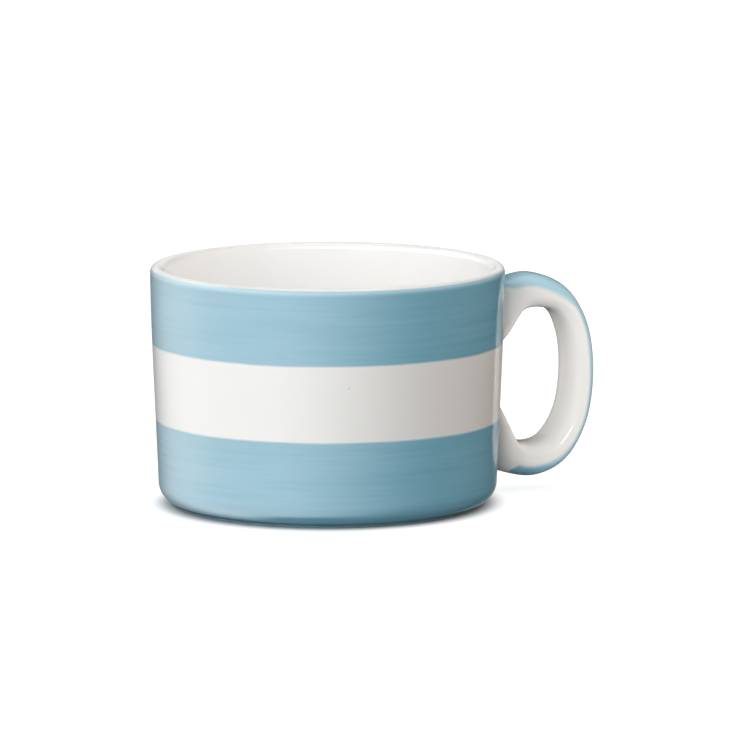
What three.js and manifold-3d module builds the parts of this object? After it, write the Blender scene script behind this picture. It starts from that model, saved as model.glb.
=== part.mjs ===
// A wide, low mug with an oval loop handle, in millimetres, +Z up, handle towards +X.
// The clay body is turned; the handle is a loft cut to the wall; two pads of slip join them.
// The blue is brushed on as thin coats: two bands round the body and a stripe on the handle.
import * as THREE from "three";
import { mergeVertices } from "three/addons/utils/BufferGeometryUtils.js";
import Module from "manifold-3d";

const wasm = await Module();
wasm.setup();

// Driving dimensions
const RIM_RADIUS = 50.8; // outside of the clay at the rim, under the blue
const HEIGHT = 69; // table to the crest of the lip
const WALL_TAPER = 2.2; // how much the wall draws in from the rim to the corner
const WALL_THICKNESS = 3.6; // at the rim
const WALL_GAIN = 1.2; // extra thickness just above the floor
const UPRIGHT_HEIGHT = 9; // stretch below the lip's crest where the outside stops leaning
const EASE_HEIGHT = 4; // height over which the last of the taper is eased out there
const EASE_DEPTH = 0.1; // the last of the taper
const INNER_EASE = 0.2; // how much the inside draws in over the upright stretch
const CORNER_RADIUS = 6; // outside rounding between wall and foot
const CORNER_ANGLE = 78; // degrees of that rounding, from the wall down
const FLOOR_TOP = 5; // height of the inside floor
const INNER_CORNER_RADIUS = 9; // inside rounding between floor and wall
const FOOT_RADIUS = 43.5; // outside of the foot ring
const FOOT_HEIGHT = 0.5; // step between the foot ring and the corner
const FOOT_RING_WIDTH = 3.6;
const RECESS_DEPTH = 1.5; // underside inside the foot ring

const HANDLE_REACH = 32.2; // from the rim's radius to the outermost point of the loop
const HANDLE_WIDTH = 14.6; // across the loop
const SECTION_POWER = 2.5; // 2 is an ellipse, more is squarer
const ROOT_SPLIT = 0.52; // share of the height that lies between the loop's two roots
const SLIP_THICKNESS = 0.5; // joint between the wall and the handle's ends
const SLIP_BEAD = 0.5; // how far the slip shows round the handle's ends

const COAT_THICKNESS = 0.25; // the brushed colour
const UPPER_BAND_BOTTOM = 46.9;
const LOWER_BAND_TOP = 25;
const BAND_LIP_ANGLE = 34; // degrees round the lip's outside that the blue climbs
const STRIPE_HALF_ANGLE = 66; // degrees of the handle's section on each side of its back
const STRIPE_START = 0.02; // share of the loop's length where the stripe starts, inside the wall
const STRIPE_END = 0.885; // share of the loop's length where the stripe stops

const SEAT = 0.03; // clearance between coaxial turned faces
const STRIPE_SEAT = 0.13; // clearance under the stripe, whose facets differ from the handle's
const CUT_GAP = 0.3; // clearance where a piece is cut to go round a neighbour
const CUT_MARGIN = 20; // how far the cutting solids run past the mug
const LEVEL_GAP = 0.1; // a band skips wall levels that lie closer than this to its edge

// Outlines of the loop: shares of the reach outwards from the rim's radius, and of the height.
// Both start and end inside the wall, where the cut to the wall takes them off.
const LOOP_OUTER = [
  [-0.1, 0.884],
  [0.125, 0.899],
  [0.42, 0.915],
  [0.73, 0.851],
  [0.937, 0.697],
  [1.0, 0.486],
  [0.932, 0.274],
  [0.727, 0.118],
  [0.431, 0.056],
  [0.116, 0.08],
  [-0.125, 0.13],
];
const LOOP_INNER = [
  [-0.1, 0.529],
  [0.138, 0.654],
  [0.313, 0.763],
  [0.606, 0.753],
  [0.738, 0.641],
  [0.767, 0.484],
  [0.706, 0.323],
  [0.522, 0.212],
  [0.247, 0.213],
  [0.113, 0.33],
  [-0.125, 0.551],
];

// Facets
const TURN_STEPS = 80;
const CORNER_STEPS = 6;
const LIP_STEPS = 8;
const INNER_CORNER_STEPS = 6;
const LOOP_STEPS = 44;
const SECTION_STEPS = 24;
const STRIPE_SIDE_STEPS = 6;

const rad = THREE.MathUtils.degToRad;
const point = (x, y) => new THREE.Vector2(x, y);

// Points of an arc, from one angle to another.
function arc(cx, cy, r, from, to, steps) {
  const points = [];
  for (let i = 0; i <= steps; i += 1) {
    const a = from + ((to - from) * i) / steps;
    points.push(point(cx + r * Math.cos(a), cy + r * Math.sin(a)));
  }
  return points;
}

// A profile turned about the Z axis.
function turn(profile) {
  return new THREE.LatheGeometry(profile, TURN_STEPS).rotateX(Math.PI / 2);
}

// A geometry as a solid for cutting, and back again.
function solid(geometry) {
  const bare = geometry.clone();
  bare.deleteAttribute("normal");
  bare.deleteAttribute("uv");
  const merged = mergeVertices(bare, 1e-4);
  return new wasm.Manifold(
    new wasm.Mesh({
      numProp: 3,
      vertProperties: new Float32Array(merged.attributes.position.array),
      triVerts: new Uint32Array(merged.index.array),
    }),
  );
}

function geometryOf(made) {
  const mesh = made.getMesh();
  const geometry = new THREE.BufferGeometry();
  geometry.setAttribute("position", new THREE.BufferAttribute(new Float32Array(mesh.vertProperties), 3));
  geometry.setIndex(new THREE.BufferAttribute(new Uint32Array(mesh.triVerts), 1));
  geometry.computeVertexNormals();
  return geometry;
}

// Outside of the clay, grown outwards by an offset. Every coat and cut uses these same levels.
const lipRadius = WALL_THICKNESS / 2;
const lipHeight = HEIGHT - lipRadius;
const wallFoot = RIM_RADIUS - WALL_TAPER;
const cornerAxis = wallFoot - CORNER_RADIUS;
const cornerHeight = FOOT_HEIGHT + CORNER_RADIUS;
const straightTop = HEIGHT - UPRIGHT_HEIGHT;
const wallSpan = straightTop - cornerHeight;
const wallLevels = [0, 0.5, 1].map((share) => cornerHeight + wallSpan * share);
const wallRadius = (z) => {
  const share = THREE.MathUtils.clamp((z - cornerHeight) / wallSpan, 0, 1);
  return wallFoot + (WALL_TAPER - EASE_DEPTH) * share;
};

function outsideWall(grow) {
  const points = wallLevels.map((z) => point(wallRadius(z) + grow, z));
  points.push(point(RIM_RADIUS + grow, straightTop + EASE_HEIGHT));
  points.push(point(RIM_RADIUS + grow, lipHeight));
  return points;
}

function outsideCorner(grow) {
  const start = -rad(CORNER_ANGLE);
  return arc(cornerAxis, cornerHeight, CORNER_RADIUS + grow, start, 0, CORNER_STEPS).slice(0, -1);
}

// Point where the outside wall, grown, passes a level.
function wallAt(z, grow) {
  const eased = EASE_DEPTH * Math.max(0, 1 - (z - straightTop) / EASE_HEIGHT);
  const radius = z > straightTop ? RIM_RADIUS - eased : wallRadius(z);
  return point(radius + grow, z);
}

// The clay body: underside, foot ring, wall, lip, inside and floor
const innerLip = RIM_RADIUS - WALL_THICKNESS;
const innerFoot = wallFoot - WALL_THICKNESS - WALL_GAIN;
const bodyProfile = [
  point(0, RECESS_DEPTH),
  point(FOOT_RADIUS - FOOT_RING_WIDTH - RECESS_DEPTH, RECESS_DEPTH),
  point(FOOT_RADIUS - FOOT_RING_WIDTH, 0),
  point(FOOT_RADIUS, 0),
  point(FOOT_RADIUS, FOOT_HEIGHT),
  ...outsideCorner(0),
  ...outsideWall(0).slice(0, -1),
  ...arc(RIM_RADIUS - lipRadius, lipHeight, lipRadius, 0, Math.PI, LIP_STEPS),
  point(innerLip - INNER_EASE, straightTop),
  point((innerLip + innerFoot) / 2, (straightTop + FLOOR_TOP + INNER_CORNER_RADIUS) / 2),
  ...arc(
    innerFoot - INNER_CORNER_RADIUS,
    FLOOR_TOP + INNER_CORNER_RADIUS,
    INNER_CORNER_RADIUS,
    0,
    -Math.PI / 2,
    INNER_CORNER_STEPS,
  ),
  point(0, FLOOR_TOP),
];

// The loop: at each step a rounded section runs from the inner outline to the outer one.
const loopPoint = ([out, up]) => point(RIM_RADIUS + out * HANDLE_REACH, up * HEIGHT);
const outerCurve = new THREE.SplineCurve(LOOP_OUTER.map(loopPoint));
const innerCurve = new THREE.SplineCurve(LOOP_INNER.map(loopPoint));

// A point on the loop's skin, lifted off it by an amount; angle 0 is the back of the handle.
function loopSkin(share, angle, lift) {
  const back = outerCurve.getPoint(share);
  const front = innerCurve.getPoint(share);
  const middle = back.clone().add(front).multiplyScalar(0.5);
  const across = back.clone().sub(front).multiplyScalar(0.5);
  const halfDepth = across.length();
  across.divideScalar(halfDepth);
  const round = (v) => Math.sign(v) * Math.abs(v) ** (2 / SECTION_POWER);
  const halfWidth = HANDLE_WIDTH / 2;
  const c = round(Math.cos(angle));
  const s = round(Math.sin(angle));
  // outward direction of the section's edge at this angle
  const nx = (Math.sign(c) * Math.abs(c) ** (SECTION_POWER - 1)) / halfDepth;
  const ny = (Math.sign(s) * Math.abs(s) ** (SECTION_POWER - 1)) / halfWidth;
  const n = Math.hypot(nx, ny);
  const depth = halfDepth * c + (lift * nx) / n;
  const width = halfWidth * s + (lift * ny) / n;
  return [middle.x + across.x * depth, width, middle.y + across.y * depth];
}

// A closed skin through rings of points, each ring joined to the next and the ends capped.
function skin(rings) {
  const size = rings[0].length;
  const positions = rings.flat(2);
  const index = [];
  for (let i = 0; i + 1 < rings.length; i += 1) {
    for (let j = 0; j < size; j += 1) {
      const a = i * size + j;
      const b = i * size + ((j + 1) % size);
      index.push(a, b + size, b, a, a + size, b + size);
    }
  }
  const last = (rings.length - 1) * size;
  for (let j = 1; j + 1 < size; j += 1) {
    index.push(0, j, j + 1);
    index.push(last, last + j + 1, last + j);
  }
  const geometry = new THREE.BufferGeometry();
  geometry.setAttribute("position", new THREE.Float32BufferAttribute(positions, 3));
  geometry.setIndex(index);
  geometry.computeVertexNormals();
  return geometry;
}

function loop(lift) {
  const rings = [];
  for (let i = 0; i <= LOOP_STEPS; i += 1) {
    const ring = [];
    for (let j = 0; j < SECTION_STEPS; j += 1) {
      ring.push(loopSkin(i / LOOP_STEPS, (2 * Math.PI * j) / SECTION_STEPS, lift));
    }
    rings.push(ring);
  }
  return solid(skin(rings));
}

// Everything inside the outside wall, grown, from below the table to above the lip.
function insideWall(grow) {
  const points = outsideWall(grow);
  const below = -CUT_MARGIN;
  const above = HEIGHT + CUT_MARGIN;
  const bottom = point(points[0].x, below);
  const top = point(points.at(-1).x, above);
  return solid(turn([point(0, below), bottom, ...points, top, point(0, above)]));
}

// The handle's ends and the slip that they sit on
const slipOutside = SEAT + SLIP_THICKNESS;
const handleSolid = loop(0).subtract(insideWall(slipOutside + SEAT));
const slipShell = insideWall(slipOutside).subtract(insideWall(SEAT));
const slipPads = loop(SLIP_BEAD).intersect(slipShell);
const padMiddle = HEIGHT * ROOT_SPLIT;
const upperSlip = slipPads.trimByPlane([0, 0, 1], padMiddle);
const lowerSlip = slipPads.trimByPlane([0, 0, -1], -padMiddle);

// The bands: coats on the outside wall, cut away round the handle's roots
const coat = SEAT + COAT_THICKNESS;
const rootCut = loop(SLIP_BEAD + CUT_GAP);
const lipArc = (grow) =>
  arc(RIM_RADIUS - lipRadius, lipHeight, lipRadius + grow, 0, rad(BAND_LIP_ANGLE), LIP_STEPS / 2).slice(1);
const upperLevels = (grow) => [
  wallAt(UPPER_BAND_BOTTOM, grow),
  ...outsideWall(grow).filter((p) => p.y > UPPER_BAND_BOTTOM + LEVEL_GAP),
  ...lipArc(grow),
];
const lowerLevels = (grow) => [
  ...outsideCorner(grow),
  ...outsideWall(grow).filter((p) => p.y < LOWER_BAND_TOP - LEVEL_GAP),
  wallAt(LOWER_BAND_TOP, grow),
];
function band(levels) {
  const inner = levels(SEAT);
  const outer = levels(coat);
  const ring = solid(turn([...outer, ...inner.reverse(), outer[0]]));
  return geometryOf(ring.subtract(rootCut));
}

// The stripe: a coat on the back of the loop, from the wall to near its lower end
const stripeOutside = STRIPE_SEAT + COAT_THICKNESS;
function stripe() {
  const length = STRIPE_END - STRIPE_START;
  const steps = Math.round(LOOP_STEPS * length);
  const sides = STRIPE_SIDE_STEPS;
  const rings = [];
  for (let i = 0; i <= steps; i += 1) {
    const share = STRIPE_START + (length * i) / steps;
    const ring = [];
    for (let j = -sides; j <= sides; j += 1) {
      ring.push(loopSkin(share, (rad(STRIPE_HALF_ANGLE) * j) / sides, stripeOutside));
    }
    for (let j = sides; j >= -sides; j -= 1) {
      ring.push(loopSkin(share, (rad(STRIPE_HALF_ANGLE) * j) / sides, STRIPE_SEAT));
    }
    rings.push(ring);
  }
  return geometryOf(solid(skin(rings)).subtract(insideWall(slipOutside + SLIP_BEAD + CUT_GAP)));
}

const white = { color: 0xece9e2, roughness: 0.18 };
const blue = { color: 0x86b9cd, roughness: 0.18 };
const mug = new THREE.Group();
function add(name, geometry, look) {
  const mesh = new THREE.Mesh(geometry, new THREE.MeshStandardMaterial(look));
  mesh.name = name;
  mug.add(mesh);
}
add("cup_body", turn(bodyProfile), white);
add("handle", geometryOf(handleSolid), white);
add("upper_handle_slip", geometryOf(upperSlip), white);
add("lower_handle_slip", geometryOf(lowerSlip), white);
add("upper_blue_band", band(upperLevels), blue);
add("lower_blue_band", band(lowerLevels), blue);
add("handle_blue_stripe", stripe(), blue);

// The origin is the middle of the footprint on the table, so the cup's axis lies towards -X.
const farLeft = RIM_RADIUS + coat;
const farRight = RIM_RADIUS + HANDLE_REACH + stripeOutside;
mug.position.x = (farLeft - farRight) / 2;
const part = new THREE.Group();
part.add(mug);
export default part;
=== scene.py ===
"""A wide mug with brushed blue bands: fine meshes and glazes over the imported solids, in metres."""

import math
from collections import namedtuple

import bpy
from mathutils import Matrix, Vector


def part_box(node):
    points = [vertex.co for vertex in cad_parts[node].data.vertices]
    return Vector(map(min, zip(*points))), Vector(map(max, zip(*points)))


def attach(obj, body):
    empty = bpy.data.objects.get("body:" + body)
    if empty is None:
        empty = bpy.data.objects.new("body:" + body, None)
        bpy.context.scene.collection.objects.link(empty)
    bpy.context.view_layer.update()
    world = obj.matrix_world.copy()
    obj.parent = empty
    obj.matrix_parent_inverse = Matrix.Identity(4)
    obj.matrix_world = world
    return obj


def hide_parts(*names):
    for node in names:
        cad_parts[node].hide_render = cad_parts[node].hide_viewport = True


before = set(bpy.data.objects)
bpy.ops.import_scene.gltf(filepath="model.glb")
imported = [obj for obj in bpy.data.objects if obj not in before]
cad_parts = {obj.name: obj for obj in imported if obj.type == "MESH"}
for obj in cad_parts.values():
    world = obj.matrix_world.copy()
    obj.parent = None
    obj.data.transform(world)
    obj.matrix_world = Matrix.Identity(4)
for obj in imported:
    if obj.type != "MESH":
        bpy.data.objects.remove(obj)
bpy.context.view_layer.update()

MM = 0.001

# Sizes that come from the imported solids
body_low, body_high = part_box("cup_body")
handle_low, handle_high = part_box("handle")
AXIS_X = (body_low.x + body_high.x) / 2
RIM_RADIUS = (body_high.x - body_low.x) / 2
HEIGHT = body_high.z
HANDLE_REACH = handle_high.x - AXIS_X - RIM_RADIUS
HANDLE_WIDTH = handle_high.y - handle_low.y
UPPER_BAND_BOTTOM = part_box("upper_blue_band")[0].z
LOWER_BAND_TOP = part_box("lower_blue_band")[1].z

# Sizes of the fired body
GLAZE = 0.12 * MM  # clear glaze over the clay
WALL_TAPER = 2.2 * MM
WALL_THICKNESS = 3.6 * MM
WALL_GAIN = 1.2 * MM
CORNER_RADIUS = 6 * MM
CORNER_ANGLE = 78  # degrees of the corner's rounding, from the wall down
FLOOR_TOP = 5 * MM
INNER_CORNER_RADIUS = 9 * MM
FOOT_RADIUS = 43.5 * MM
FOOT_HEIGHT = 0.5 * MM
FOOT_RING_WIDTH = 3.6 * MM
FOOT_ROUND = 0.4 * MM
RECESS_DEPTH = 1.5 * MM
WALL_LEAN = 2.1  # degrees that the wall leans out above the corner
WALL_EASE = 0.1  # share of the taper that is left at the upper control point of the wall's curve
FLOOR_RINGS = (0.66, 0.33, 0)  # shares of the flat floor's radius

# The coats of colour: their meshes
COAT = 0.02 * MM
COAT_FADE = 2.4 * MM  # length over which a coat thins out beside the white band
LIP_FADE = 0.5 * MM  # the same at the lip
FOOT_FADE = 0.1 * MM  # the same at the foot
LIP_OVERLAP = 14  # degrees that the upper coat goes on past the crest of the lip
FOOT_OVERLAP = 50  # degrees that the lower coat goes on round the edge of the foot, its dark blue there being painted shade under the corner
STRIPE_HALF_ANGLE = 120  # degrees of the handle's section under the coat, on each side of its back
STRIPE_START = 0.02  # this and the next three are shares of the loop's length
STRIPE_END = 0.905
STRIPE_START_FADE = 0.004
STRIPE_END_FADE = 0.02
STRIPE_SIDE_FADE = 0.15  # share of the coat's half width
STRIPE_UV_REACH = 4  # times the blue's own depth that one unit of the UVs covers

# Where the blue is on the coats
EDGE_SOFT = 0.45 * MM  # half the width over which the blue fades out beside the white band
LIP_EDGE = 1.5 * MM  # where the blue stops, outwards from the crest of the lip
LIP_EDGE_SOFT = EDGE_SOFT / 4  # half the width over which it fades out there
LIP_THIN_AND_HIGHLIGHT_START = 2.5 * MM  # below the crest, where the blue starts to pale: thinner paint and a painted highlight along the lip's rounding
LIP_THIN_AND_HIGHLIGHT_END = 0.9 * MM
LIP_THIN_AND_HIGHLIGHT = 0.85  # how far it pales there, 1 being the pale blue
WAVER = 0.5 * MM  # how far the bands' edges wander
WAVER_MARKS = (60, 60, 25)  # wanderings in a metre along X, Y and Z
STRIPE_STOP = 0.88  # share of the loop's length where the blue starts to fade out
STRIPE_STOP_SOFT = 0.012  # share of the length over which it fades
STRIPE_STOP_WANDER = 0.012
STRIPE_EDGE_SOFT = 0.25  # this and the next are shares of the blue's depth
STRIPE_EDGE_WANDER = 0.25
STRIPE_DEEP_START = (0.115, 0.075)  # shares of the loop's length over which the blue deepens
STRIPE_DEEP_END = (0.72, 0.84)
STRIPE_DEEP = 0.9  # how far it deepens there

# The handle
SECTION_POWER = 2.5
ROOT_FILLET = 1.6 * MM  # slip smoothed into the corner between wall and handle

# Outlines of the loop: shares of the reach outwards from the rim's radius, and of the height
LOOP_OUTER = [
    (-0.1, 0.884),
    (0.125, 0.899),
    (0.42, 0.915),
    (0.73, 0.851),
    (0.937, 0.697),
    (1.0, 0.486),
    (0.932, 0.274),
    (0.727, 0.118),
    (0.431, 0.056),
    (0.116, 0.08),
    (-0.125, 0.13),
]
LOOP_INNER = [
    (-0.1, 0.529),
    (0.138, 0.654),
    (0.313, 0.763),
    (0.606, 0.753),
    (0.738, 0.641),
    (0.767, 0.484),
    (0.706, 0.323),
    (0.522, 0.212),
    (0.247, 0.213),
    (0.113, 0.33),
    (-0.125, 0.551),
]

# Depth of the blue on each side of the handle's back, by share of the loop's length
STRIPE_DEPTHS = [
    (0.0, 1.2 * MM),
    (0.07, 1.6 * MM),
    (0.13, 2.9 * MM),
    (0.27, 3.9 * MM),
    (0.36, 2.6 * MM),
    (0.65, 2.6 * MM),
    (0.8, 3.8 * MM),
    (0.86, 3.4 * MM),
    (0.885, 1.6 * MM),
]

# Fineness of the meshes
TURN_STEPS = 288
CORNER_STEPS = 24
WALL_STEPS = 60
INSIDE_STEPS = 40
LIP_STEPS = 18
FOOT_STEPS = 6
FOOT_INSIDE_STEPS = 4
OVERLAP_STEPS = 4
STRIPE_SIDE_STEPS = 56
SECTION_STEPS = 96
ROOT_STEPS = 64
LOOP_STEPS = 180
ROOT_SHARE = 0.1  # share of the loop's length at each end that counts as its root
ON_AXIS = 1e-7  # radius below which a point counts as lying on the axis


def mesh_object(name, verts, faces, uvs=None):
    """A smooth mesh object at the origin, with one UV pair for each vertex where they are given."""
    mesh = bpy.data.meshes.new(name)
    mesh.from_pydata(verts, [], faces)
    mesh.validate()
    if uvs is not None:
        layer = mesh.uv_layers.new(name="UVMap")
        for loop in mesh.loops:
            layer.data[loop.index].uv = uvs[loop.vertex_index]
    mesh.shade_smooth()
    made = bpy.data.objects.new(name, mesh)
    bpy.context.scene.collection.objects.link(made)
    return made


def arc(cx, cz, radius, start, end, steps):
    """Points of an arc from one angle to another, in degrees."""
    points = []
    for i in range(steps + 1):
        a = math.radians(start + (end - start) * i / steps)
        points.append((cx + radius * math.cos(a), cz + radius * math.sin(a)))
    return points


def bezier(p0, p1, p2, p3, steps):
    """Points of a cubic curve, without its first one."""
    points = []
    for i in range(1, steps + 1):
        t = i / steps
        weights = ((1 - t) ** 3, 3 * t * (1 - t) ** 2, 3 * t * t * (1 - t), t**3)
        pairs = list(zip(weights, (p0, p1, p2, p3)))
        points.append(tuple(sum(w * p[k] for w, p in pairs) for k in (0, 1)))
    return points


def smooth_step(low, high, value):
    """From 0 at low to 1 at high, which may be the smaller of the two."""
    share = min(1, max(0, (value - low) / (high - low)))
    return share * share * (3 - 2 * share)


# Outline of the outside, from the foot ring up to the crest of the lip
outer_rim = RIM_RADIUS + GLAZE
inner_rim = RIM_RADIUS - WALL_THICKNESS - GLAZE
lip_radius = (outer_rim - inner_rim) / 2
lip_centre = (outer_rim - lip_radius, HEIGHT - COAT - lip_radius)
wall_foot = RIM_RADIUS - WALL_TAPER + GLAZE
corner_centre = (wall_foot - CORNER_RADIUS, FOOT_HEIGHT + CORNER_RADIUS)


def outside_line():
    """The corner above the foot, the leaning wall and the outer half of the lip."""
    corner = arc(*corner_centre, CORNER_RADIUS, -CORNER_ANGLE, -WALL_LEAN, CORNER_STEPS)
    start = corner[-1]
    lean = math.tan(math.radians(WALL_LEAN))
    rise = (lip_centre[1] - start[1]) / 3
    leaving = (start[0] + rise * lean, start[1] + rise)
    arriving = (outer_rim - WALL_EASE * WALL_TAPER, start[1] + 2 * rise)
    wall = bezier(start, leaving, arriving, (outer_rim, lip_centre[1]), WALL_STEPS)
    lip = arc(*lip_centre, lip_radius, 0, 90, LIP_STEPS)[1:]
    return corner + wall + lip


OUTSIDE = outside_line()


def wall_radius(z):
    """Radius of the outside at a height, between the foot ring and the lip's widest level."""
    for (r0, z0), (r1, z1) in zip(OUTSIDE, OUTSIDE[1:]):
        if z0 <= z <= z1:
            return r0 + (r1 - r0) * (z - z0) / (z1 - z0)
    return OUTSIDE[0][0] if z < OUTSIDE[0][1] else outer_rim


def turned(name, profile, closed):
    """A profile turned about the cup's axis; one that starts and ends on the axis closes itself."""
    verts = []
    rows = []
    for r, z in profile:
        if r < ON_AXIS:
            rows.append([len(verts)] * TURN_STEPS)
            verts.append((AXIS_X, 0, z))
            continue
        rows.append(list(range(len(verts), len(verts) + TURN_STEPS)))
        for j in range(TURN_STEPS):
            a = 2 * math.pi * j / TURN_STEPS
            verts.append((AXIS_X + r * math.cos(a), r * math.sin(a), z))
    pairs = list(zip(rows, rows[1:]))
    if closed:
        pairs.append((rows[-1], rows[0]))
    faces = []
    for low, high in pairs:
        for j in range(TURN_STEPS):
            k = (j + 1) % TURN_STEPS
            corners = [low[j], low[k], high[k], high[j]]
            faces.append(tuple(dict.fromkeys(corners)))
    return mesh_object(name, verts, faces)


def cup_body():
    """The whole body: recess, foot ring, outside, lip, inside and floor."""
    foot_inside = FOOT_RADIUS - FOOT_RING_WIDTH
    recess_edge = foot_inside - RECESS_DEPTH
    foot_out = arc(FOOT_RADIUS - FOOT_ROUND, FOOT_ROUND, FOOT_ROUND, -90, 0, FOOT_STEPS)
    foot_in = arc(foot_inside + FOOT_ROUND, FOOT_ROUND, FOOT_ROUND, -135, -90, FOOT_INSIDE_STEPS)
    inner_foot = wall_foot - WALL_THICKNESS - WALL_GAIN
    inner_corner = (inner_foot - INNER_CORNER_RADIUS, FLOOR_TOP + INNER_CORNER_RADIUS)
    inside_top = (inner_rim, lip_centre[1])
    drop = (inside_top[1] - inner_corner[1]) / 3
    inside_wall = bezier(
        inside_top,
        (inner_rim, inside_top[1] - drop),
        (inner_foot + WALL_TAPER / 2, inner_corner[1] + drop),
        (inner_foot, inner_corner[1]),
        INSIDE_STEPS,
    )
    profile = [(0, RECESS_DEPTH), (recess_edge / 2, RECESS_DEPTH), (recess_edge, RECESS_DEPTH)]
    profile += foot_in + foot_out
    profile += OUTSIDE
    profile += arc(*lip_centre, lip_radius, 90, 180, LIP_STEPS)[1:]
    profile += inside_wall
    profile += arc(*inner_corner, INNER_CORNER_RADIUS, 0, -90, CORNER_STEPS)[1:]
    profile += [(inner_corner[0] * share, FLOOR_TOP) for share in FLOOR_RINGS]
    return turned("cup_body_clay", profile, False)


def band(name, line, low_fade, high_fade):
    """A thin coat of colour along a line of the outside, thinning out over a length at each end."""
    length = [0]
    for a, b in zip(line, line[1:]):
        length.append(length[-1] + math.dist(a, b))
    skins = {1: [], -1: []}
    for i, (r, z) in enumerate(line):
        before = line[max(0, i - 1)]
        after = line[min(len(line) - 1, i + 1)]
        run = math.dist(before, after)
        normal = ((after[1] - before[1]) / run, -(after[0] - before[0]) / run)
        above = smooth_step(0, low_fade, length[i])
        below = smooth_step(0, high_fade, length[-1] - length[i])
        lift = COAT * (2 * min(above, below) - 1)
        for side, offset in ((1, lift), (-1, -2 * COAT)):
            skins[side].append((r + normal[0] * offset, z + normal[1] * offset))
    return turned(name, skins[1] + skins[-1][::-1], True)


def upper_coat():
    """From the white band up over the outside of the lip to just past its crest."""
    wall = [p for p in OUTSIDE if p[1] >= UPPER_BAND_BOTTOM - COAT_FADE]
    past_crest = arc(*lip_centre, lip_radius, 90, 90 + LIP_OVERLAP, OVERLAP_STEPS)[1:]
    return band("upper_blue_band_coat", wall + past_crest, COAT_FADE, LIP_FADE)


def lower_coat():
    """From the side of the foot ring round the corner and up to the white band; on the foot's side its
    dark blue is painted shade under the corner.
    """
    foot = arc(FOOT_RADIUS - FOOT_ROUND, FOOT_ROUND, FOOT_ROUND, -FOOT_OVERLAP, 0, OVERLAP_STEPS)
    wall = [p for p in OUTSIDE if p[1] <= LOWER_BAND_TOP + COAT_FADE]
    return band("lower_blue_band_coat", foot + wall, FOOT_FADE, COAT_FADE)


def spline(points, share):
    """A point of a smooth curve through the points, evenly shared out among them."""
    place = share * (len(points) - 1)
    i = min(int(place), len(points) - 2)
    t = place - i
    p0, p1, p2, p3 = (points[min(max(i + k, 0), len(points) - 1)] for k in (-1, 0, 1, 2))
    return [
        p1[k]
        + 0.5 * t * (p2[k] - p0[k])
        + t * t * (p0[k] - 2.5 * p1[k] + 2 * p2[k] - 0.5 * p3[k])
        + t**3 * (1.5 * (p1[k] - p2[k]) + 0.5 * (p3[k] - p0[k]))
        for k in (0, 1)
    ]


def loop_point(place):
    """Radius and height of a point of the loop's outlines."""
    return RIM_RADIUS + place[0] * HANDLE_REACH, place[1] * HEIGHT


outer_points = [loop_point(p) for p in LOOP_OUTER]
inner_points = [loop_point(p) for p in LOOP_INNER]


def signed_power(value, power):
    """A power that keeps the sign of the value."""
    return math.copysign(abs(value) ** power, value)


def loop_skin(share, angle, lift):
    """A point on the loop's skin, lifted off it; angle 0 is the handle's back.

    Near the wall the skin flares out into a fillet.
    """
    back = spline(outer_points, share)
    front = spline(inner_points, share)
    half_depth = math.dist(back, front) / 2
    half_width = HANDLE_WIDTH / 2
    across = ((back[0] - front[0]) / 2 / half_depth, (back[1] - front[1]) / 2 / half_depth)
    c = signed_power(math.cos(angle), 2 / SECTION_POWER)
    s = signed_power(math.sin(angle), 2 / SECTION_POWER)
    nx = signed_power(c, SECTION_POWER - 1) / half_depth
    ny = signed_power(s, SECTION_POWER - 1) / half_width
    n = math.hypot(nx, ny)

    def lifted(amount):
        depth = half_depth * c + amount * nx / n
        width = half_width * s + amount * ny / n
        x = (back[0] + front[0]) / 2 + across[0] * depth
        z = (back[1] + front[1]) / 2 + across[1] * depth
        return x, width, z

    x, y, z = lifted(lift)
    distance = math.hypot(x, y) - wall_radius(z)
    near = min(1, max(0, 1 - distance / ROOT_FILLET))
    x, y, z = lifted(lift + ROOT_FILLET * (1 - math.sqrt(1 - near * near)))
    return AXIS_X + x, y, z


def loop_shares():
    """Places along the loop, close together near both roots."""
    shares = [ROOT_SHARE * i / ROOT_STEPS for i in range(ROOT_STEPS)]
    shares += [ROOT_SHARE + (1 - 2 * ROOT_SHARE) * i / LOOP_STEPS for i in range(LOOP_STEPS)]
    shares += [1 - ROOT_SHARE + ROOT_SHARE * i / ROOT_STEPS for i in range(ROOT_STEPS + 1)]
    return shares


def skin(name, rings, uvs=None):
    """A closed skin through rings of points, with capped ends."""
    size = len(rings[0])
    verts = [p for ring in rings for p in ring]
    faces = []
    for i in range(len(rings) - 1):
        for j in range(size):
            a = i * size + j
            b = i * size + (j + 1) % size
            faces.append((a, b, b + size, a + size))
    faces.append(tuple(range(size - 1, -1, -1)))
    last = (len(rings) - 1) * size
    faces.append(tuple(range(last, last + size)))
    return mesh_object(name, verts, [f[::-1] for f in faces], uvs)


def handle_pieces():
    """The loop in three pieces: the flaring slip at each root, and the handle between."""
    angles = [2 * math.pi * j / SECTION_STEPS for j in range(SECTION_STEPS)]
    rings = []
    clear = []
    for share in loop_shares():
        ring = [loop_skin(share, angle, GLAZE) for angle in angles]
        rings.append(ring)
        distances = [math.hypot(x - AXIS_X, y) - wall_radius(z) for x, y, z in ring]
        clear.append(min(distances) > ROOT_FILLET)
    first = clear.index(True)
    last = len(clear) - 1 - clear[::-1].index(True)
    upper = skin("upper_handle_slip_joint", rings[: first + 1])
    middle = skin("handle_loop", rings[first : last + 1])
    lower = skin("lower_handle_slip_joint", rings[last:])
    return upper, middle, lower


def stripe_depth(share, angle):
    """How far a point of the section lies below the back of the loop."""
    half_depth = math.dist(spline(outer_points, share), spline(inner_points, share)) / 2
    return half_depth * (1 - signed_power(math.cos(angle), 2 / SECTION_POWER))


def stripe_reach(share):
    """How far the blue comes down each side of the back, at a place along the loop."""
    for (s0, d0), (s1, d1) in zip(STRIPE_DEPTHS, STRIPE_DEPTHS[1:]):
        if share <= s1:
            return d0 + (d1 - d0) * smooth_step(s0, s1, share)
    return STRIPE_DEPTHS[-1][1]


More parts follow.
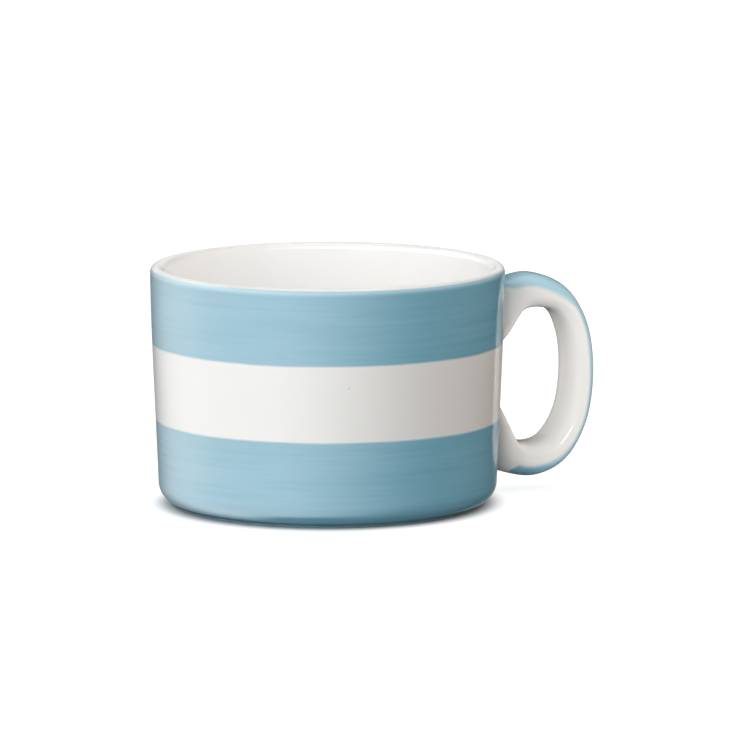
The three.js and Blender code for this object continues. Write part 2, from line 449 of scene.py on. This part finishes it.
def stripe():
    """A thin coat on the loop's back; its UVs are the place along it and the depth below the back."""
    shares = [s for s in loop_shares() if STRIPE_START <= s <= STRIPE_END]
    half = math.radians(STRIPE_HALF_ANGLE)
    rings = []
    uvs = []
    for share in shares:
        starting = smooth_step(0, STRIPE_START_FADE, share - STRIPE_START)
        stopping = smooth_step(0, STRIPE_END_FADE, STRIPE_END - share)
        ring = []
        for side in (1, -1):
            for k in range(-STRIPE_SIDE_STEPS, STRIPE_SIDE_STEPS + 1):
                place = side * k / STRIPE_SIDE_STEPS
                edge = smooth_step(0, STRIPE_SIDE_FADE, 1 - abs(place)) * starting * stopping
                lift = GLAZE + (COAT * (2 * edge - 1) if side > 0 else -2 * COAT)
                depth = stripe_depth(share, place * half) / stripe_reach(share)
                ring.append(loop_skin(share, place * half, lift))
                uvs.append((share, depth / STRIPE_UV_REACH))
        rings.append(ring)
    return skin("handle_blue_stripe_coat", rings, uvs)


# Materials
WHITE = (0.872, 0.855, 0.83, 1)
WARM_WHITE = (0.857, 0.837, 0.807, 1)
# Grey of the painted shade at the handle's roots
ROOT_SHADE_WHITE = (0.43, 0.41, 0.38, 1)
BARE_CLAY = (0.66, 0.60, 0.52, 1)
BLUE = (0.226, 0.465, 0.588, 1)
DEEP_BLUE = (0.18, 0.425, 0.532, 1)
PALE_STREAK = (0.36, 0.565, 0.63, 1)
# Pale blue: the watery stripe on the handle, and the painted highlight on the lip's rounding
PALE_BLUE = (0.45, 0.68, 0.78, 1)
SPECK = (0.10, 0.16, 0.18, 1)

# Looks of the glaze; the marks of a noise are counted in a metre
DETAIL = 3.0  # finer layers in a noise
SLOW_DETAIL = 2.0
NOISE_ROUGHNESS = 0.5  # strength of those finer layers
STREAK_ROUGHNESS = 0.6  # the same in the brush marks
NOISE_MIDDLE = 0.5
NOISE_RANGE = (0.3, 0.7)  # this and the other ranges are noise values between which a look changes
CLOUD_RANGE = (0.3, 0.75)
DEPTH_RANGE = (0.32, 0.68)
HAIR_RANGE = (0.5, 0.75)
STREAK_RANGE = (0.4, 0.65)
STRIPE_RANGE = (0.35, 0.65)
GRAIN_RANGE = (0.35, 0.7)
GLAZE_IOR = 1.52
RIPPLE_MARKS = 260
RIPPLE_STRENGTH = 0.03
RIPPLE_HEIGHT = 0.6 * MM
GLOSS_MARKS = 90
GLOSS_ROUGHNESS = (0.09, 0.14)
CLOUD_MARKS = 35
ROOT_SHADE_START = -1 * MM  # where the painted shade at the handle's roots starts to fade, outwards from the rim's radius
ROOT_SHADE_END = 6 * MM
ROOT_SHADE_DEPTH = 0.9  # how far the painted shade greys the white
SPECK_CELLS = 110  # cells in a metre that may hold a speck
SPECK_SIZE = 0.3 * MM
WHITE_SPECKS = 0.6  # share of the cells that do hold one
WHITE_SPECK_DEPTH = 0.4
BLUE_SPECKS = 0.5
BLUE_SPECK_DEPTH = 0.75
BROAD_MARKS = (20, 20, 140)  # brush marks along X, Y and Z, from broad ones to single hairs
STREAK_MARKS = (20, 20, 700)
HAIR_MARKS = (30, 30, 1540)
STREAK_SHARE = 0.55  # the rest of the depth comes from the broad marks
PALE_STREAKS = 0.25
STRIPE_CLOUDS = 70
STRIPE_MARKS = (14, 60, 1)  # brush marks in one unit of the stripe's UVs
STRIPE_STREAK_SHARE = 0.6  # the rest of its depth comes from the clouds
GRAIN_MARKS = 1500
GRAIN_STRENGTH = 0.25
GRAIN_HEIGHT = 0.2 * MM
CLAY_ROUGHNESS = (0.75, 0.92)


class Nodes:
    """Short ways to add shader nodes to one material."""

    def __init__(self, name):
        self.material = bpy.data.materials.new(name)
        self.material.use_nodes = True
        self.tree = self.material.node_tree
        self.shader = self.tree.nodes["Principled BSDF"]
        self.place = self.add("ShaderNodeTexCoord").outputs["Object"]

    def add(self, kind, inputs=None, **settings):
        """A node with some of its inputs and settings given."""
        made = self.tree.nodes.new(kind)
        for name, value in settings.items():
            setattr(made, name, value)
        for key, value in (inputs or {}).items():
            self.feed(made.inputs[key], value)
        return made

    def feed(self, socket, value):
        """A link or a plain value for an input."""
        if isinstance(value, bpy.types.NodeSocket):
            self.tree.links.new(value, socket)
        else:
            socket.default_value = value

    def math(self, operation, a, b=0.0):
        """One calculation with one or two values."""
        return self.add("ShaderNodeMath", {0: a, 1: b}, operation=operation).outputs[0]

    def ramp(self, value, low, high, out_low=0.0, out_high=1.0):
        """A smooth step of a value from one range to another."""
        inputs = {
            "Value": value,
            "From Min": low,
            "From Max": high,
            "To Min": out_low,
            "To Max": out_high,
        }
        made = self.add("ShaderNodeMapRange", inputs, interpolation_type="SMOOTHSTEP")
        return made.outputs["Result"]

    def noise(self, marks, detail=DETAIL, roughness=NOISE_ROUGHNESS, vector=None):
        """Noise with a number of marks in a metre: one number, or one each for X, Y and Z."""
        source = vector if vector is not None else self.place
        stretch = marks if isinstance(marks, tuple) else (marks, marks, marks)
        scaled = self.add("ShaderNodeVectorMath", {0: source, 1: stretch}, operation="MULTIPLY")
        inputs = {"Vector": scaled.outputs[0], "Scale": 1.0, "Detail": detail, "Roughness": roughness}
        return self.add("ShaderNodeTexNoise", inputs).outputs["Fac"]

    def weigh(self, share, a, b):
        """A share of one value and the rest of the other."""
        return self.math("ADD", self.math("MULTIPLY", a, share), self.math("MULTIPLY", b, 1 - share))

    def mix(self, share, a, b):
        """Colour a turning into colour b."""
        inputs = {"Factor": share, 6: a, 7: b}
        return self.add("ShaderNodeMix", inputs, data_type="RGBA").outputs[2]

    def split(self, vector):
        """The three parts of a vector."""
        return self.add("ShaderNodeSeparateXYZ", {0: vector}).outputs

    def radius(self):
        """Distance from the cup's axis."""
        x, y, _ = self.split(self.place)
        x = self.math("SUBTRACT", x, AXIS_X)
        squares = self.math("ADD", self.math("MULTIPLY", x, x), self.math("MULTIPLY", y, y))
        return self.math("SQRT", squares)

    def specks(self, chance):
        """A mask of small round specks in some of the cells of a grid of random points."""
        inputs = {"Vector": self.place, "Scale": SPECK_CELLS, "Randomness": 1.0}
        cells = self.add("ShaderNodeTexVoronoi", inputs)
        edge = SPECK_SIZE * SPECK_CELLS
        dot = self.ramp(cells.outputs["Distance"], edge, edge / 2)
        pick = self.math("GREATER_THAN", self.split(cells.outputs["Color"])[0], 1 - chance)
        return self.math("MULTIPLY", dot, pick)

    def bump(self, pattern, strength, height):
        """A fine relief on the surface."""
        inputs = {"Strength": strength, "Distance": height, "Height": pattern}
        self.feed(self.shader.inputs["Normal"], self.add("ShaderNodeBump", inputs).outputs[0])

    def finish(self, colour):
        """Clear glaze over the colour: glossy, with a faint ripple."""
        gloss = self.ramp(self.noise(GLOSS_MARKS), *NOISE_RANGE, *GLOSS_ROUGHNESS)
        self.feed(self.shader.inputs["Base Color"], colour)
        self.feed(self.shader.inputs["Roughness"], gloss)
        self.bump(self.noise(RIPPLE_MARKS, SLOW_DETAIL), RIPPLE_STRENGTH, RIPPLE_HEIGHT)
        self.shader.inputs["IOR"].default_value = GLAZE_IOR
        return self.material


def white_colour(n):
    """Off-white with faint clouds and a few pinhole specks."""
    clouds = n.ramp(n.noise(CLOUD_MARKS), *CLOUD_RANGE)
    tone = n.mix(clouds, WHITE, WARM_WHITE)
    pinholes = n.math("MULTIPLY", n.specks(WHITE_SPECKS), WHITE_SPECK_DEPTH)
    return n.mix(pinholes, tone, SPECK)


def blue_colour(n):
    """Brushed colour: fine streaks drawn out along the brush's way, over slow changes of depth."""
    broad = n.noise(BROAD_MARKS, SLOW_DETAIL)
    streak = n.noise(STREAK_MARKS, DETAIL, STREAK_ROUGHNESS)
    hairs = n.noise(HAIR_MARKS, DETAIL, STREAK_ROUGHNESS)
    depth = n.weigh(STREAK_SHARE, streak, broad)
    tone = n.mix(n.ramp(depth, *DEPTH_RANGE), BLUE, DEEP_BLUE)
    pale = n.math("MULTIPLY", n.ramp(hairs, *HAIR_RANGE), n.ramp(streak, *STREAK_RANGE))
    return n.mix(n.math("MULTIPLY", pale, PALE_STREAKS), tone, PALE_STREAK)


def shaded_handle_white(n):
    """The white of the handle, greyed by painted shade in the corners at the wall."""
    # Painted shade: the white greys towards the wall at both roots
    root_shade = n.ramp(n.radius(), RIM_RADIUS + ROOT_SHADE_START, RIM_RADIUS + ROOT_SHADE_END, ROOT_SHADE_DEPTH, 0)
    return n.mix(root_shade, white_colour(n), ROOT_SHADE_WHITE)


def white_glaze():
    """The glaze of the body."""
    n = Nodes("white_glaze")
    return n.finish(white_colour(n))


def handle_glaze():
    """The glaze of the handle and of both its roots."""
    n = Nodes("handle_glaze")
    return n.finish(shaded_handle_white(n))


def bare_clay():
    """The unglazed foot: dry, faintly grainy."""
    n = Nodes("bare_clay")
    grain = n.noise(GRAIN_MARKS)
    n.feed(n.shader.inputs["Base Color"], n.mix(n.ramp(grain, *GRAIN_RANGE), BARE_CLAY, WARM_WHITE))
    n.feed(n.shader.inputs["Roughness"], n.ramp(grain, *NOISE_RANGE, *CLAY_ROUGHNESS))
    n.bump(grain, GRAIN_STRENGTH, GRAIN_HEIGHT)
    return n.material


def wavering(n, value):
    """A length with a slow unsteadiness added, as of a brush held by hand."""
    waver = n.math("SUBTRACT", n.noise(WAVER_MARKS, SLOW_DETAIL), NOISE_MIDDLE)
    return n.math("ADD", value, n.math("MULTIPLY", waver, WAVER))


def band_glaze(n, painted, thin_and_highlight=0.0):
    """Brushed blue with a few specks where the paint is, paler where the paint is thin and a highlight
    is painted; white elsewhere.
    """
    blue = n.mix(thin_and_highlight, blue_colour(n), PALE_BLUE)
    blue = n.mix(n.math("MULTIPLY", n.specks(BLUE_SPECKS), BLUE_SPECK_DEPTH), blue, SPECK)
    return n.finish(n.mix(painted, white_colour(n), blue))


def upper_band_glaze():
    """Blue from the white band up to just short of the crest of the lip, paler on the lip's rounding:
    thinner paint and a painted highlight.
    """
    n = Nodes("upper_band_glaze")
    z = n.split(n.place)[2]
    edge = lip_centre[0] + LIP_EDGE
    rising = n.ramp(wavering(n, z), UPPER_BAND_BOTTOM - EDGE_SOFT, UPPER_BAND_BOTTOM + EDGE_SOFT)
    below_lip = n.ramp(z, lip_centre[1] + EDGE_SOFT, lip_centre[1])
    outside = n.ramp(n.radius(), edge - LIP_EDGE_SOFT, edge + LIP_EDGE_SOFT)
    outside = n.math("MAXIMUM", below_lip, outside)
    # Painted highlight along the lip's rounding, with thinner paint: the blue pales towards the crest
    thin_and_highlight = n.ramp(z, HEIGHT - LIP_THIN_AND_HIGHLIGHT_START, HEIGHT - LIP_THIN_AND_HIGHLIGHT_END, 0, LIP_THIN_AND_HIGHLIGHT)
    return band_glaze(n, n.math("MULTIPLY", rising, outside), thin_and_highlight)


def lower_band_glaze():
    """Blue from the foot up to the white band."""
    n = Nodes("lower_band_glaze")
    z = n.split(n.place)[2]
    falling = n.ramp(wavering(n, z), LOWER_BAND_TOP + EDGE_SOFT, LOWER_BAND_TOP - EDGE_SOFT)
    return band_glaze(n, falling)


def stripe_glaze():
    """Blue on the handle's back: watery with a wandering edge, and deeper where it starts and ends."""
    n = Nodes("stripe_glaze")
    uv = n.add("ShaderNodeUVMap", uv_map="UVMap").outputs[0]
    share, depth = n.split(uv)[0:2]
    clouds = n.noise(STRIPE_CLOUDS)
    wander = n.math("SUBTRACT", clouds, NOISE_MIDDLE)
    depth = n.math("MULTIPLY", depth, STRIPE_UV_REACH)
    edge = n.math("ADD", depth, n.math("MULTIPLY", wander, STRIPE_EDGE_WANDER))
    inside = n.ramp(edge, 1 + STRIPE_EDGE_SOFT, 1 - STRIPE_EDGE_SOFT)
    along = n.math("ADD", share, n.math("MULTIPLY", wander, STRIPE_STOP_WANDER))
    inside = n.math("MULTIPLY", inside, n.ramp(along, STRIPE_STOP + STRIPE_STOP_SOFT, STRIPE_STOP))
    streak = n.noise(STRIPE_MARKS, DETAIL, STREAK_ROUGHNESS, uv)
    strength = n.weigh(STRIPE_STREAK_SHARE, streak, clouds)
    thin = n.mix(n.ramp(strength, *STRIPE_RANGE), PALE_BLUE, PALE_STREAK)
    deep = n.math("ADD", n.ramp(along, *STRIPE_DEEP_START), n.ramp(along, *STRIPE_DEEP_END))
    blue = n.mix(n.math("MULTIPLY", deep, STRIPE_DEEP), thin, BLUE)
    return n.finish(n.mix(inside, shaded_handle_white(n), blue))


# Pieces
def dress(piece, slot, materials, *nodes):
    """Materials for a piece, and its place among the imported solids."""
    for material in materials:
        piece.data.materials.append(material)
    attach(piece, "root")
    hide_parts(*nodes)


def bare_foot(piece):
    """The second material, bare clay, on the underside of the foot ring."""
    inner_edge = FOOT_RADIUS - FOOT_RING_WIDTH - MM
    for face in piece.data.polygons:
        centre = face.center
        if centre.z < FOOT_HEIGHT and math.hypot(centre.x - AXIS_X, centre.y) > inner_edge:
            face.material_index = 1


body = cup_body()
dress(body, "white_glaze", [white_glaze(), bare_clay()], "cup_body")
bare_foot(body)

upper_slip, loop, lower_slip = handle_pieces()
white = handle_glaze()
dress(upper_slip, "fired_slip", [white], "upper_handle_slip")
dress(loop, "white_glaze", [white], "handle")
dress(lower_slip, "fired_slip", [white], "lower_handle_slip")

upper_band = upper_coat()
lower_band = lower_coat()
dress(upper_band, "blue_glaze", [upper_band_glaze()], "upper_blue_band")
dress(lower_band, "blue_glaze", [lower_band_glaze()], "lower_blue_band")
loop_stripe = stripe()
dress(loop_stripe, "blue_glaze", [stripe_glaze()], "handle_blue_stripe")

# The photograph's view: a long lens a little above the rim, the handle to the right and turned away
CAMERA_TURN = 24  # degrees from looking along +Y
CAMERA_AIM = 0.355  # degrees that the lens points to the right of the cup's axis
CAMERA_PITCH = 8.715  # degrees that it points down
CAMERA_DISTANCE = 2.2
CAMERA_HEIGHT = 0.3742
CAMERA_FAR = 50
LENS_PIXELS = 7739  # focal length in pixels of the picture
IMAGE_PIXELS = 750
SENSOR = 36  # width in millimetres

# The lights: degrees round the cup, height, distance from its axis, size, brightness and colour
Panel = namedtuple("Panel", "turn height distance wide tall radiance colour")
MOUTH = HEIGHT + 4 * MM  # height just above the lip
NEUTRAL = (1, 1, 1)
WARM = (1, 0.81, 0.7)
COOL = (0.84, 0.9, 1)
HANDLE_WARM = (1, 0.978, 0.962)
OVERHEAD = Panel(0, 1.8, 0.1, 1.2, 1.2, 0.8, NEUTRAL)
BACK_TOP = Panel(180, 1.8, 1.0, 2.0, 1.5, 1.17, NEUTRAL)
KEY = Panel(-35, 0.55, 1.35, 1.2, 1.2, 2.1, NEUTRAL)
FRONT = Panel(0, 0.6, 1.6, 1.0, 1.0, 2.4, NEUTRAL)
FILL = Panel(100, 0.3, 1.2, 0.8, 0.8, 2.4, WARM)
LEFT = Panel(-100, 0.3, 1.2, 0.8, 0.8, 0.45, NEUTRAL)
INSIDE = Panel(0, MOUTH, 0, 0.088, 0.088, 0.38, COOL)
LIP_TOP = Panel(80, 1.8, 0.6, 1.0, 1.0, 1.3, NEUTRAL)
HANDLE_GLINT = Panel(28, 0.2, 1.0, 0.17, 0.17, 18, NEUTRAL)
# The handle's own lights, and whether the handle alone shades them
HANDLE_LIGHTS = [
    (Panel(-22, 0.3, 1.0, 0.9, 0.5, 8.0, HANDLE_WARM), False),
    (Panel(-85, 0.15, 1.0, 0.5, 0.5, 6.6, HANDLE_WARM), True),
    (Panel(90, 0.15, 1.0, 0.5, 0.5, 2.2, HANDLE_WARM), True),
    (Panel(60, -0.4, 1.0, 0.5, 0.5, 2.4, HANDLE_WARM), True),
]
SKY_COLOUR = (0.92, 0.985, 1, 1)
SKY_STRENGTH = 0.216

# The table, and what the cup sees of it
TABLE_HALF = 6
TABLE_TONE = 0.42
TABLE_GLOW = 0.85
TABLE_SHADE = 9 * MM  # width of the painted shadow round the foot, where the table's glow fades out
CARD_TONE = 0.58
CARD_DROP = 0.1 * MM
SHADE_SPOT_RADIUS = 45 * MM  # radius of the dark spot, a painted reflection of the shaded table under the foot
SPOT_LIFT = 0.02 * MM
SPOT_STEPS = 120
PAPER_MARKS = 3
PAPER_UNEVEN = 0.02
PAPER_ROUGHNESS = 0.9
PAPER_SHEEN = 0.1

# The scrim: brightness and size of the ring, and where it fades, in degrees round the cup or in height
SCRIM_FRONT = 5.0
SCRIM_BEHIND = 1.0
SCRIM_BEHIND_LOW = SCRIM_BEHIND / 3
SCRIM_RADIUS = 1.1
SCRIM_BOTTOM = -4.0
SCRIM_TOP = 1.8
SCRIM_STEPS = 120
FRONT_LEFT_FADE = (-165, -90)
FRONT_RIGHT_FADE = (75, -40)
FRONT_LOW_FADE = (-3.5, -1.2)
BEHIND_LEFT_FADE = (-135, -165)
BEHIND_RIGHT_FADE = (145, 170)
BEHIND_LOW_FADE = (0.0, 0.3)
TOP_FADE = (1.6, 0.9)


def around(azimuth, height, distance):
    """A place round the cup; azimuth 0 is towards the camera and 90 to the right of the picture."""
    a = math.radians(CAMERA_TURN - azimuth)
    return Vector((AXIS_X - distance * math.sin(a), -distance * math.cos(a), height))


def make_camera():
    """The camera of the photograph's view."""
    lens = bpy.data.cameras.new("camera")
    lens.sensor_width = SENSOR
    lens.lens = LENS_PIXELS * SENSOR / IMAGE_PIXELS
    lens.clip_end = CAMERA_FAR
    camera = bpy.data.objects.new("camera", lens)
    camera.location = around(0, CAMERA_HEIGHT, CAMERA_DISTANCE)
    turn = math.radians(CAMERA_TURN + CAMERA_AIM)
    pitch = math.radians(CAMERA_PITCH)
    level = math.cos(pitch)
    ahead = Vector((math.sin(turn) * level, math.cos(turn) * level, -math.sin(pitch)))
    camera.rotation_euler = ahead.to_track_quat("-Z", "Y").to_euler()
    bpy.context.scene.collection.objects.link(camera)
    bpy.context.scene.camera = camera


def soft_light(name, panel):
    """A soft panel with four corners that faces the middle of the cup.

    Its radiance is its brightness at any size.
    """
    light = bpy.data.lights.new(name, "AREA")
    light.shape = "RECTANGLE"
    light.size = panel.wide
    light.size_y = panel.tall
    light.energy = panel.radiance * math.pi * panel.wide * panel.tall
    light.color = panel.colour
    lamp = bpy.data.objects.new(name, light)
    place = around(panel.turn, panel.height, panel.distance)
    target = Vector((AXIS_X, 0, HEIGHT / 2))
    lamp.location = place
    lamp.rotation_euler = (target - place).to_track_quat("-Z", "Y").to_euler()
    bpy.context.scene.collection.objects.link(lamp)
    return lamp


def stage_sheet(name, outline, z, tone):
    """A plain matt sheet on the stage."""
    sheet = mesh_object(name, [(x, y, z) for x, y in outline], [tuple(range(len(outline)))])
    n = Nodes(name + "_paper")
    fibres = n.noise(PAPER_MARKS, SLOW_DETAIL)
    fibres = n.ramp(fibres, *NOISE_RANGE, tone, tone + PAPER_UNEVEN)
    n.feed(n.shader.inputs["Base Color"], fibres)
    n.shader.inputs["Roughness"].default_value = PAPER_ROUGHNESS
    n.shader.inputs["Specular IOR Level"].default_value = PAPER_SHEEN
    sheet.data.materials.append(n.material)
    sheet.visible_glossy = False
    return sheet, n


def make_floor():
    """A white table that glows, fading to a painted shadow round the foot, a card just under it and a
    dark spot under the foot.

    The camera sees the table alone; the cup sees the card and, in its gloss, the dark spot, a painted
    reflection of the shaded table under the foot.
    """
    half = TABLE_HALF
    square = [(-half, -half), (half, -half), (half, half), (-half, half)]
    floor, n = stage_sheet("floor", square, 0, TABLE_TONE)
    # Painted shadow: the table's glow fades out towards the foot
    glow = n.ramp(n.radius(), FOOT_RADIUS, FOOT_RADIUS + TABLE_SHADE, 0, TABLE_GLOW)
    n.feed(n.shader.inputs["Emission Strength"], glow)
    n.shader.inputs["Emission Color"].default_value = (1, 1, 1, 1)
    floor.visible_diffuse = False
    card = stage_sheet("bounce_card", square, -CARD_DROP, CARD_TONE)[0]
    card.visible_camera = False
    # A dark sheet seen only in the gloss: painted reflection of the shade under the foot
    circle = [(AXIS_X + x, y) for x, y in arc(0, 0, SHADE_SPOT_RADIUS, 0, 360, SPOT_STEPS)[:-1]]
    spot = stage_sheet("shade_spot", circle, SPOT_LIFT, 0)[0]
    spot.visible_glossy = True
    spot.visible_camera = False
    spot.visible_diffuse = False
    spot.visible_shadow = False


def make_scrim(pieces):
    """Lit paper round the left and the front, and behind, seen only as sheen on the glaze."""
    verts = []
    uvs = []
    for i in range(SCRIM_STEPS + 1):
        for z in (SCRIM_BOTTOM, SCRIM_TOP):
            verts.append(around(360 * i / SCRIM_STEPS - 180, z, SCRIM_RADIUS))
            uvs.append((i / SCRIM_STEPS, z))
    faces = [(2 * i, 2 * i + 1, 2 * i + 3, 2 * i + 2) for i in range(SCRIM_STEPS)]
    scrim = mesh_object("scrim", verts, faces, uvs)
    n = Nodes("scrim_light")
    turn, height, _ = n.split(n.add("ShaderNodeUVMap", uv_map="UVMap").outputs[0])
    azimuth = n.math("SUBTRACT", n.math("MULTIPLY", turn, 360.0), 180.0)
    front = n.math("MULTIPLY", n.ramp(azimuth, *FRONT_LEFT_FADE), n.ramp(azimuth, *FRONT_RIGHT_FADE))
    front = n.math("MULTIPLY", front, n.ramp(height, *FRONT_LOW_FADE, 0, SCRIM_FRONT))
    behind = n.math("ADD", n.ramp(azimuth, *BEHIND_LEFT_FADE), n.ramp(azimuth, *BEHIND_RIGHT_FADE))
    above_table = n.ramp(height, *BEHIND_LOW_FADE, SCRIM_BEHIND_LOW, SCRIM_BEHIND)
    behind = n.math("MULTIPLY", behind, above_table)
    strength = n.math("MULTIPLY", n.math("ADD", front, behind), n.ramp(height, *TOP_FADE))
    lamp = n.add("ShaderNodeEmission", {"Strength": strength})
    n.tree.links.new(lamp.outputs[0], n.tree.nodes["Material Output"].inputs["Surface"])
    scrim.data.materials.append(n.material)
    scrim.visible_camera = False
    scrim.visible_diffuse = False
    scrim.visible_shadow = False
    light_only(scrim, pieces, sheen=True)


def collection_of(name, pieces):
    """A collection that is only used to name pieces for a light."""
    made = bpy.data.collections.new(name)
    for piece in pieces:
        made.objects.link(piece)
    return made


def light_only(lamp, pieces, shades=None, sheen=False):
    """A light for some pieces alone, with a reflection in them or without.

    Where shades are given, only they cast its shadows.
    """
    lamp.light_linking.receiver_collection = collection_of(lamp.name + "_pieces", pieces)
    if shades is not None:
        lamp.light_linking.blocker_collection = collection_of(lamp.name + "_shades", shades)
    lamp.visible_glossy = sheen


def make_lights(cup, handle):
    """Panels all round, lights for the inside, the bands and the handle alone, and a faint sky."""
    soft_light("overhead", OVERHEAD)
    soft_light("back_top", BACK_TOP)
    soft_light("key", KEY)
    light_only(soft_light("front", FRONT), cup, sheen=True)
    soft_light("fill", FILL).visible_glossy = False
    soft_light("left", LEFT).visible_glossy = False
    inside = soft_light("inside", INSIDE)
    # Round, with the energy of the square
    inside.data.shape = "DISK"
    inside.visible_camera = False
    light_only(inside, cup[:1])
    light_only(soft_light("lip_top", LIP_TOP), cup[1:])
    for panel, alone in HANDLE_LIGHTS:
        lamp = soft_light(f"handle_light_{panel.turn}", panel)
        light_only(lamp, handle, handle if alone else None)
    glint = soft_light("handle_glint", HANDLE_GLINT)
    light_only(glint, handle, sheen=True)
    glint.visible_diffuse = False
    world = bpy.data.worlds.new("studio")
    world.use_nodes = True
    background = world.node_tree.nodes["Background"]
    background.inputs["Color"].default_value = SKY_COLOUR
    background.inputs["Strength"].default_value = SKY_STRENGTH
    bpy.context.scene.world = world


handle_set = [upper_slip, loop, lower_slip, loop_stripe]
cup_set = [body, upper_band, lower_band]
make_camera()
make_scrim(cup_set)
make_floor()
make_lights(cup_set, handle_set)
bpy.context.scene.view_settings.view_transform = "Standard"
bpy.context.scene.view_settings.look = "None"
